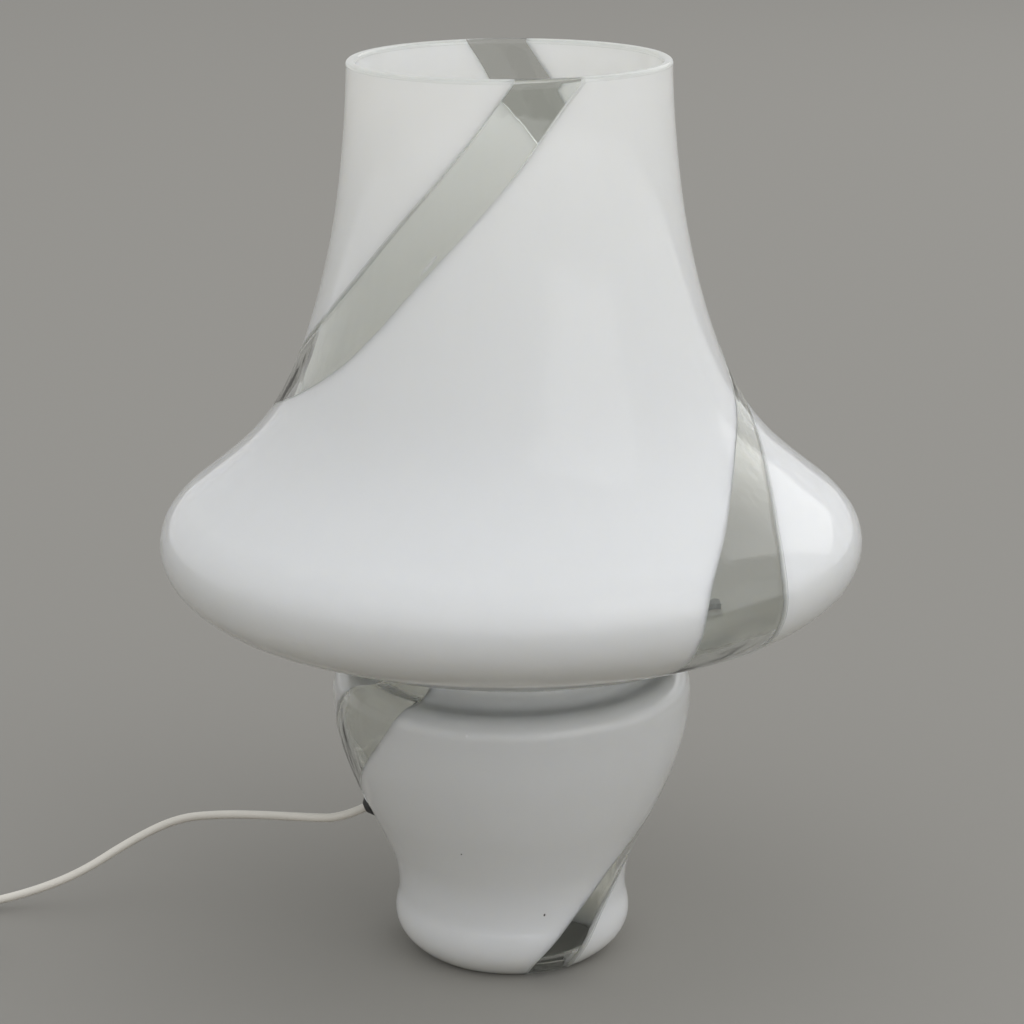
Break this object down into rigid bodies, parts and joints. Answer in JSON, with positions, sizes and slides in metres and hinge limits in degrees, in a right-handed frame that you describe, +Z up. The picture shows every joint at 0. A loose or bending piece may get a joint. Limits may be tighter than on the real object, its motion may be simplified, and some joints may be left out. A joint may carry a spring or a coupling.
{
  "type": "mushroom table lamp",
  "caption": "Table lamp of one blown piece of cased glass: baluster base, mushroom cap and open chimney, with a lampholder on a carrier, corded rocker switch and plug.",
  "frame": {"origin": "middle of the foot's resting plane, on the glass axis", "axes": "+Z up along the glass axis; +X to the right of somebody facing the lamp along +Y; the cord leaves towards -X"},
  "size_m": [0.5955, 0.4069, 0.5299],
  "materials": {
    "opal_cased_glass": "blown cased glass, opal white panels with clear bands, glossy",
    "clear_glass": "clear glass, glossy",
    "black_rubber": "moulded rubber, satin black",
    "grey_rubber": "soft silicone rubber, matt",
    "zinc_steel": "zinc-plated steel, dull",
    "black_plastic": "moulded thermoplastic, satin black",
    "porcelain": "steatite, semi-matt",
    "brass": "plain brass, satin",
    "lamp_cap_aluminium": "bright aluminium",
    "black_glass": "vitrified insulator, glossy black",
    "tungsten": "dark grey wire",
    "white_cord": "PVC sheath, off-white, satin",
    "white_plastic": "moulded plastic, off-white, semi-gloss",
    "core_insulation": "PVC core insulation, brown",
    "plated_pins": "nickel-plated brass"
  },
  "bodies": {
    "lamp": {"glass_body": "opal_cased_glass", "cord_grommet": "black_rubber", "lamp_carrier": "zinc_steel", "carrier_sleeves": "grey_rubber", "threaded_nipple": "zinc_steel", "nipple_washer": "zinc_steel", "nipple_nut": "zinc_steel", "cord_grip": "black_plastic", "cord_grip_screw": "zinc_steel", "holder_cap": "black_plastic", "holder_insert": "porcelain", "holder_terminal_screws": "brass", "holder_skirt": "black_plastic", "holder_centre_tongue": "brass", "holder_screw_shell": "brass", "holder_wires": "core_insulation", "cord_inner": "white_cord", "cord_lead": "white_cord", "cord_tail": "white_cord", "cord_coil": "white_cord", "cord_end": "white_cord", "switch_base": "white_plastic", "switch_cover": "white_plastic", "switch_rocker_pin": "zinc_steel", "switch_terminals": "brass", "switch_terminal_screws": "zinc_steel", "switch_cord_clamps": "white_plastic", "switch_clamp_screws": "zinc_steel", "switch_housing_screws": "zinc_steel", "switch_wires": "core_insulation", "plug_strain_relief": "white_plastic", "plug_body": "white_plastic", "plug_pins": "plated_pins", "plug_pin_sleeves": "black_plastic"},
    "bulb": {"bulb_screw_cap": "lamp_cap_aluminium", "bulb_insulator": "black_glass", "bulb_centre_contact": "brass", "bulb_glass_envelope": "clear_glass", "bulb_stem": "clear_glass", "bulb_lead_wires": "tungsten", "bulb_filament": "tungsten"},
    "rocker": {"switch_rocker": "white_plastic", "switch_plunger": "white_plastic", "switch_plunger_spring": "zinc_steel"},
    "contact_bridge": {"switch_contact_bridge": "brass"}
  },
  "joints": [
    {"name": "bulb_turn", "type": "hinge", "parent": "lamp", "child": "bulb", "pos_m": [0, 0, 0.25], "axis": [0, 0, 1], "range_deg": [0, 1080]},
    {"name": "rocker_press", "type": "hinge", "parent": "lamp", "child": "rocker", "pos_m": [-0.372, -0.059, 0.015], "axis": [1, 0, 0], "range_deg": [0, 16]},
    {"name": "bridge_rock", "type": "hinge", "parent": "lamp", "child": "contact_bridge", "pos_m": [-0.372, -0.059, 0.007], "axis": [1, 0, 0], "range_deg": [-12, 0]}
  ],
  "couplings": [
    {"joint": "bridge_rock", "follows": "rocker_press", "ratio": -0.75}
  ]
}
